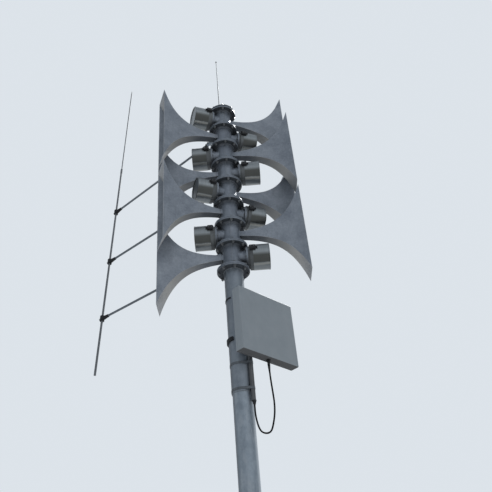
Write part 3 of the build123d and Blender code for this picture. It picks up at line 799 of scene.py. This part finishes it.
@dataclass(frozen=True)
class Studio:
    """Pale floor, pale surroundings, a sun and a broad light from the front."""

    floor_size: float = 160.0
    floor_tone: Rgb = (0.60, 0.60, 0.595)
    backdrop: Rgb = (0.72, 0.77, 0.82)
    fill: Rgb = (0.90, 0.97, 1.06)
    fill_strength: float = 0.44
    key_strength: float = 3.5
    key_from: Point = (0.55, 0.63, 1.0)
    key_angle: float = 5.0
    front_strength: float = 0.45
    front_from: Point = (0.4, -1.0, 0.35)
    front_angle: float = 60.0

    def build(self) -> None:
        """Makes the floor, the world and the lamps."""
        self.lay_floor()
        self.fill_world()
        self.hang_sun("key_light", self.key_from, self.key_strength, self.key_angle)
        self.hang_sun("front_light", self.front_from, self.front_strength, self.front_angle)
        bpy.context.scene.view_settings.view_transform = "Standard"

    def lay_floor(self) -> None:
        """Lays a flat square floor with a faint mottle under the base plate."""
        half = self.floor_size / 2
        corners = [(-half, -half, 0), (half, -half, 0), (half, half, 0), (-half, half, 0)]
        mesh = bpy.data.meshes.new("floor")
        mesh.from_pydata(corners, [], [(0, 1, 2, 3)])
        nodes = Nodes("studio_floor")
        clouds = nodes.span(nodes.noise(1.5), 0.3, 0.7)
        tone = nodes.mix(clouds, shade(self.floor_tone, 0.97), self.floor_tone)
        nodes.set(Base_Color=tone, Roughness=0.9)
        mesh.materials.append(nodes.material)
        new_object("floor", mesh)

    def fill_world(self) -> None:
        """Shows a pale background and lights the tower evenly from all round."""
        world = bpy.data.worlds.new("studio_world")
        world.use_nodes = True
        wiring = Wiring(world.node_tree)
        rays = wiring.add("ShaderNodeLightPath").outputs
        shown = rays["Is Camera Ray"]
        for name in ("Is Glossy Ray", "Is Transmission Ray"):
            shown = wiring.math("MAXIMUM", shown, rays[name])
        light, seen = (wiring.add("ShaderNodeBackground", {"Color": (*tone, 1), "Strength": strength})
                       for tone, strength in ((self.fill, self.fill_strength), (self.backdrop, 1.0)))
        mix = wiring.add("ShaderNodeMixShader", {0: shown, 1: light.outputs[0], 2: seen.outputs[0]})
        wiring.add("ShaderNodeOutputWorld", {0: mix.outputs[0]})
        bpy.context.scene.world = world

    def hang_sun(self, name: str, origin: Point, strength: float, spread: float) -> None:
        """Adds a distant light from a direction, spread over an angle in degrees."""
        lamp = bpy.data.lights.new(name, "SUN")
        lamp.energy = strength
        lamp.angle = radians(spread)
        matrix = np.eye(4)
        matrix[:3, :3] = aimed(np.array([origin]))[0]
        new_object(name, lamp).matrix_world = Matrix(matrix.tolist())


# Sub-assemblies
@dataclass(frozen=True)
class Column:
    """The stack of cast modules with its horns, drivers, cap and bolts."""

    modules: int = 8
    flange: float = 0.010
    first_joint: float = SIREN_BASE + 0.010
    bolts: int = 8
    bolt_circle: float = 0.0875
    first_bolt: float = radians(7.1)
    driver_clear: float = radians(37.0)
    tab_joints: tuple[int, ...] = (1, 4, 7)
    tab_bolt: int = 3
    tab_thick: float = 0.008
    cap_seat: float = 0.0218
    axis_rise: float = 0.006
    seat_plane: float = 0.084
    seat_circle: float = 0.062
    head: Fastener = Fastener(0.015, 0.0065, 0.0018)
    nut: Fastener = Fastener(0.015, 0.009, 0.0018, 0.006)
    cap_head: Fastener = Fastener(0.012, 0.006)
    seat_head: Fastener = Fastener(0.010, 0.005, 0.0012)
    lid_screw: Fastener = Fastener(0.0055, 0.0018)
    lid_middle: float = 0.123
    lid_half: float = 0.009
    lid_reach: float = 0.095
    lid_turn: float = radians(78.0)

    def horn_angle(self, index: Array) -> Array:
        """Returns the directions in which horns look, from 0 for the bottom one."""
        return pi * (index % 2 == 0) + PAIR_TURN * (index % 4 > 1)

    def axis_height(self, index: Array) -> Array:
        """Returns the heights of the axes of horns and drivers, from 0 for the bottom ones."""
        return self.first_joint + MODULE_PITCH * (index + 0.5) + self.axis_rise

    def build(self) -> None:
        """Adds all bolts and dresses the castings."""
        self.bolt_flanges()
        self.bolt_drivers()
        self.screw_lids()
        numbers = range(1, self.modules + 1)
        dress(Finishes.COLUMN, "siren_adapter", *(f"column_module_{k}" for k in numbers))
        dress(Finishes.CAP, "top_cap")
        dress(Finishes.HORN, *(f"horn_{k}" for k in numbers))
        dress(Finishes.CAN_STRAIGHT, *(f"driver_{k}" for k in numbers if (k - 1) % 4 < 2))
        dress(Finishes.CAN_TURNED, *(f"driver_{k}" for k in numbers if (k - 1) % 4 > 1))
        dress(Finishes.BLACK, "driver_glands")

    def bolt_flanges(self) -> None:
        """Adds heads on every joint and nuts under it, where no driver is in the way."""
        joint, bolt = np.divmod(np.arange((self.modules + 1) * self.bolts), self.bolts)
        angle = self.first_bolt + tau * bolt / self.bolts
        at = self.bolt_circle * around(angle) + (self.first_joint + MODULE_PITCH * joint)[:, None] * UP
        last = joint == self.modules
        add_bolts("flange_bolt_heads", self.head, (at + self.flange * UP)[~last], UP, 1)
        add_bolts("cap_bolt_heads", self.cap_head, (at + self.cap_seat * UP)[last], UP, 2)
        away = np.angle(np.exp(1j * (angle - self.horn_angle(joint - 1) - pi)))
        free = (joint == 0) | (np.abs(away) > self.driver_clear)
        tab = np.isin(joint, self.tab_joints) & (bolt == self.tab_bolt)
        under = (self.flange + self.tab_thick * tab)[:, None] * UP
        add_bolts("flange_nuts", self.nut, (at - under)[free], -UP, 3)

    def bolt_drivers(self) -> None:
        """Adds the heads round each driver's flange, on the side toward the column."""
        index, bolt = np.divmod(np.arange(self.modules * self.bolts), self.bolts)
        way = around(self.horn_angle(index) + pi)
        turn = (tau * (bolt + 0.5) / self.bolts)[:, None]
        at = way * self.seat_plane + self.seat_circle * (np.cos(turn) * sideways(way) + np.sin(turn) * UP)
        at[:, 2] += self.axis_height(index)
        add_bolts("driver_bolt_heads", self.seat_head, at, -way, 4)

    def screw_lids(self) -> None:
        """Adds two small screws on the lid of each driver's cable entry."""
        index, screw = np.divmod(np.arange(self.modules * 2), 2)
        way = around(self.horn_angle(index) + pi)
        level = sideways(way)
        front = np.where(level[:, 1] < 0, 1.0, -1.0)[:, None] * level
        lean = cos(self.lid_turn) * UP + sin(self.lid_turn) * front
        at = way * (self.lid_middle + self.lid_half * (2 * screw[:, None] - 1)) + self.lid_reach * lean
        at[:, 2] += self.axis_height(index)
        add_bolts("entry_lid_screws", self.lid_screw, at, lean, 5)


@dataclass(frozen=True)
class Mast:
    """The plate, the pole and its sleeve with their weld beads.

    Each ring is a bead's radius round the mast, its own radius and its height.
    """

    plate_top: float = 0.020
    pole_radius: float = 0.0535
    rings: tuple[Point, ...] = (
        (0.0535, 0.0035, 0.020), (0.0539, 0.0022, 2.874), (0.05715, 0.0034, SIREN_BASE))
    ring_ripples: int = 90
    gussets: int = 4
    gusset_half: float = 0.004
    gusset_rise: Pair = (0.024, 0.166)
    gusset_reach: Pair = (0.058, 0.134)
    gusset_bead: float = 0.0028

    def build(self) -> None:
        """Adds the weld beads and dresses the steel."""
        beads = [weld_ring(r, bead, self.ring_ripples).moved((0.0, 0.0, z)) for r, bead, z in self.rings]
        add_piece("mast_weld_beads", beads[0].joined(*beads[1:]), Finishes.WELD, 80.0)
        add_piece("gusset_weld_beads", self.gusset_lines(), Finishes.WELD, 80.0)
        dress(Finishes.ZINC, "base_plate", "pole_lower", "panel_bracket", "strut_brackets")
        dress(Finishes.SLEEVE, "pole_sleeve")
        dress(Finishes.BAND, "tube_bands")

    def gusset_lines(self) -> Shell:
        """Returns a bead up and a bead along both sides of each gusset."""
        number = np.arange(2 * self.gussets)
        out = around(tau * (number // 2) / self.gussets)
        beside = sideways(out) * (2 * (number % 2)[:, None] - 1) * self.gusset_half
        (low, high), (near, far) = self.gusset_rise, self.gusset_reach
        rising = weld_line(high - low, self.gusset_bead, 30).copies(
            aimed(UP + 0 * out), out * self.pole_radius + beside + low * UP)
        lying = weld_line(far - near, self.gusset_bead, 17).copies(
            aimed(out), out * near + beside + self.plate_top * UP)
        return rising.joined(lying)


@dataclass(frozen=True)
class AntennaPanel:
    """The flat antenna: seam round its back, screws, and the bracket's bolts.

    Places are in the panel's own axes, with -Y its front and Z from the
    siren's base. The seam's section is distance outward and along Y.
    """

    turn: float = radians(43.0)
    middle: Pair = (0.093, -0.396)
    size: Pair = (0.402, 0.384)
    corner: float = 0.006
    back: float = -0.090
    seam_plane: float = -0.104
    seam: tuple[Pair, ...] = (
        (-0.002, -0.0015), (0.0006, -0.0015), (0.0009, 0.0), (0.0006, 0.0015), (-0.002, 0.0015))
    inset: float = 0.014
    bracket_back: float = -0.085
    bracket_bolts: Pair = (-0.264, -0.484)
    screw: Fastener = Fastener(0.008, 0.003)
    bolt: Fastener = Fastener(0.013, 0.006, 0.0016)

    def build(self) -> None:
        """Adds the seam, the screws and the bolts, and dresses the panel."""
        c, s = cos(self.turn), sin(self.turn)
        own = np.array([[c, -s, 0.0], [s, c, 0.0], [0.0, 0.0, 1.0]])
        upright = np.array([[1.0, 0.0, 0.0], [0.0, 0.0, -1.0], [0.0, 1.0, 0.0]])
        base = SIREN_BASE * UP
        (x, z), (width, tall) = self.middle, self.size
        at = own @ np.array([x, self.seam_plane, z]) + base
        seam = framed(self.size, self.corner, self.seam, 6, ring=True).copies((own @ upright)[None], at[None])
        add_piece("panel_seam", seam, Finishes.PANEL, 60.0)
        side, level = width / 2 - self.inset, tall / 2 - self.inset
        screws = np.array([(x + a * side, self.back, z + b * level) for a in (-1, 0, 1) for b in (-1, 1)])
        add_bolts("panel_back_screws", self.screw, screws @ own.T + base, own[:, 1], 6)
        holds = np.array([(0.0, self.bracket_back, height) for height in self.bracket_bolts])
        add_bolts("bracket_bolts", self.bolt, holds @ own.T + base, own[:, 1], 6)
        dress(Finishes.PANEL, "antenna_panel")
        dress(Finishes.BLACK, "panel_gland")
        dress(Finishes.CLAMP, "pole_clamps")


@dataclass(frozen=True)
class CableTube:
    """The short tube beside the sleeve: the bands' buckles and the tube's dressing."""

    band_heights: Pair = (3.032, 2.888)
    buckle_angle: float = radians(95.0)
    buckle_reach: float = 0.0612
    buckle: Point = (0.006, 0.024, 0.012)
    buckle_corner: float = 0.0015
    buckle_edge: float = 0.001
    screw: Fastener = Fastener(0.007, 0.004)

    def build(self) -> None:
        """Adds a screw housing on each band and dresses the tube."""
        out = around(self.buckle_angle)[0]
        side = sideways(out)
        at = np.array([out * self.buckle_reach + z * UP for z in self.band_heights])
        turns = np.repeat(np.stack([out, side, UP], axis=1)[None], len(at), axis=0)
        half, edge = self.buckle[2] / 2, self.buckle_edge
        profile = [(-edge, -half), (0.0, edge - half), (0.0, half - edge), (-edge, half)]
        housing = framed(self.buckle[:2], self.buckle_corner, profile, 5)
        add_piece("band_buckles", housing.copies(turns, at), Finishes.BAND)
        add_bolts("band_screws", self.screw, at + side * self.buckle[1] / 2, side, 7)
        dress(Finishes.TUBE, "cable_tube")


@dataclass(frozen=True)
class RodAndStruts:
    """The lightning rod, its struts and their fittings, and the whip antenna.

    The rod's axis is at foot plus slope times the height over the siren's
    base. Collar, sleeve and seal are profiles of radius and height.
    """

    joints: tuple[int, ...] = (7, 4, 1)
    tab_half: float = 0.004
    foot: Pair = (-0.974, 0.705)
    slope: Pair = (0.0325, 0.05083)
    socket: Pair = (0.102, 0.160)
    socket_radius: float = 0.0128
    collar_overlap: float = 0.004
    cross_shift: float = 0.008
    clamp_reach: float = 0.061
    sleeve_overlap: float = 0.002
    screw_reach: float = 0.022
    whip: Point = (-0.014, 0.0, 5.0634)
    collar: tuple[Pair, ...] = (
        (0.0, 0.0), (0.0128, 0.0), (0.0136, 0.001), (0.0136, 0.008), (0.012, 0.0095), (0.0094, 0.0115),
        (0.0088, 0.014), (0.0, 0.014))
    sleeve: tuple[Pair, ...] = (
        (0.0, 0.0), (0.0108, 0.0), (0.0114, 0.0008), (0.0114, 0.007), (0.0092, 0.01), (0.0086, 0.012),
        (0.0, 0.012))
    seal: tuple[Pair, ...] = (
        (0.0, -0.001), (0.015, -0.001), (0.0156, 0.0008), (0.0148, 0.0026), (0.0128, 0.003), (0.0, 0.003))
    cross_bolt: Fastener = Fastener(0.010, 0.0045, 0.001)
    end_bolt: Fastener = Fastener(0.013, 0.005)

    def build(self) -> None:
        """Adds collars, cross bolts, end bolts and the whip's seal, and dresses the bars."""
        z = MODULE_PITCH * np.array(self.joints) - self.tab_half
        far = np.stack([f + s * z for f, s in zip(self.foot, self.slope)], axis=-1)
        length = np.linalg.norm(far, axis=1)
        way = np.column_stack([far / length[:, None], 0 * z])
        base = (SIREN_BASE + z)[:, None] * UP
        near = base + way * (self.socket[1] - self.collar_overlap)
        ends = base + way * (length - self.clamp_reach + self.sleeve_overlap)[:, None]
        collars = turned(self.collar, 28).copies(aimed(way), near)
        sleeves = turned(self.sleeve, 28).copies(aimed(-way), ends)
        add_piece("strut_collars", collars.joined(sleeves), Finishes.CLAMP)
        middle = base + way * (sum(self.socket) / 2 + self.cross_shift)
        side = np.concatenate([sideways(way), -sideways(way)])
        seats = np.concatenate([middle, middle]) + side * self.socket_radius
        add_bolts("strut_cross_bolts", self.cross_bolt, seats, side, 8)
        tips = base + way * (length + self.screw_reach)[:, None]
        add_bolts("rod_clamp_bolts", self.end_bolt, tips, way, 9)
        add_piece("whip_seal", turned(self.seal, 32).moved(self.whip), Finishes.BLACK)
        dress(Finishes.STRUT, "strut_top", "strut_middle", "strut_bottom")
        dress(Finishes.CLAMP, "rod_clamps")
        dress(Finishes.ROD, "lightning_rod")
        dress(Finishes.WHIP, "whip_antenna")


@dataclass(frozen=True)
class PanelCable:
    """The free cable that hangs from the antenna panel and goes up into the short tube."""

    diameter: float = 0.009
    length: float = 0.584
    boot_length: float = 0.040
    plug_length: float = 0.024
    points: tuple[Point, ...] = (
        (0.14986, -0.02434, 3.026), (0.14986, -0.02434, 2.986), (0.15179, -0.02384, 2.929),
        (0.15518, -0.02297, 2.871), (0.15809, -0.02223, 2.813), (0.15422, -0.02322, 2.758),
        (0.14375, -0.0259, 2.709), (0.13026, -0.02935, 2.66637), (0.11243, -0.03391, 2.653),
        (0.0904, -0.03954, 2.653), (0.07257, -0.0441, 2.66637), (0.06082, -0.04711, 2.708),
        (0.05598, -0.04834, 2.754), (0.05646, -0.04822, 2.79), (0.05646, -0.04822, 2.82),
    )

    def build(self) -> None:
        curve = bpy.data.curves.new("panel_cable_sheath", "CURVE")
        curve.dimensions = "3D"
        curve.bevel_depth = self.diameter / 2
        curve.bevel_resolution = 5
        curve.resolution_u = 16
        curve.use_fill_caps = True
        line = curve.splines.new("NURBS")
        line.points.add(len(self.points) - 1)
        line.points.foreach_set("co", np.column_stack([self.points, np.ones(len(self.points))]).ravel())
        line.order_u = 3
        line.use_endpoint_u = True
        curve.materials.append(Finishes.CABLE.value.material())
        cable = new_object("panel_cable_sheath", curve)
        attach(cable, "root")
        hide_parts("panel_cable")
        sleeve = boot(0.0080, 0.0052, self.boot_length, ribs=7, depth=0.0007).moved(self.points[0])
        relief = add_piece("cable_boot", sleeve, Finishes.BLACK)
        stopper = boot(0.0118, 0.0054, self.plug_length, ribs=3, depth=0.0004).moved(self.points[-1])
        plug = add_piece("tube_end_plug", stopper, Finishes.BLACK)
        LOG.info("cable over %d points", len(self.points))


def main() -> None:
    """Builds the scene in order and reports each piece."""
    logging.basicConfig(level=logging.INFO, format="%(name)s: %(message)s")
    for part in (PhotoCamera(), PanelCable(), Studio(), Column(), Mast(), AntennaPanel(), CableTube(),
                 RodAndStruts()):
        part.build()


if __name__ == "__main__":
    main()
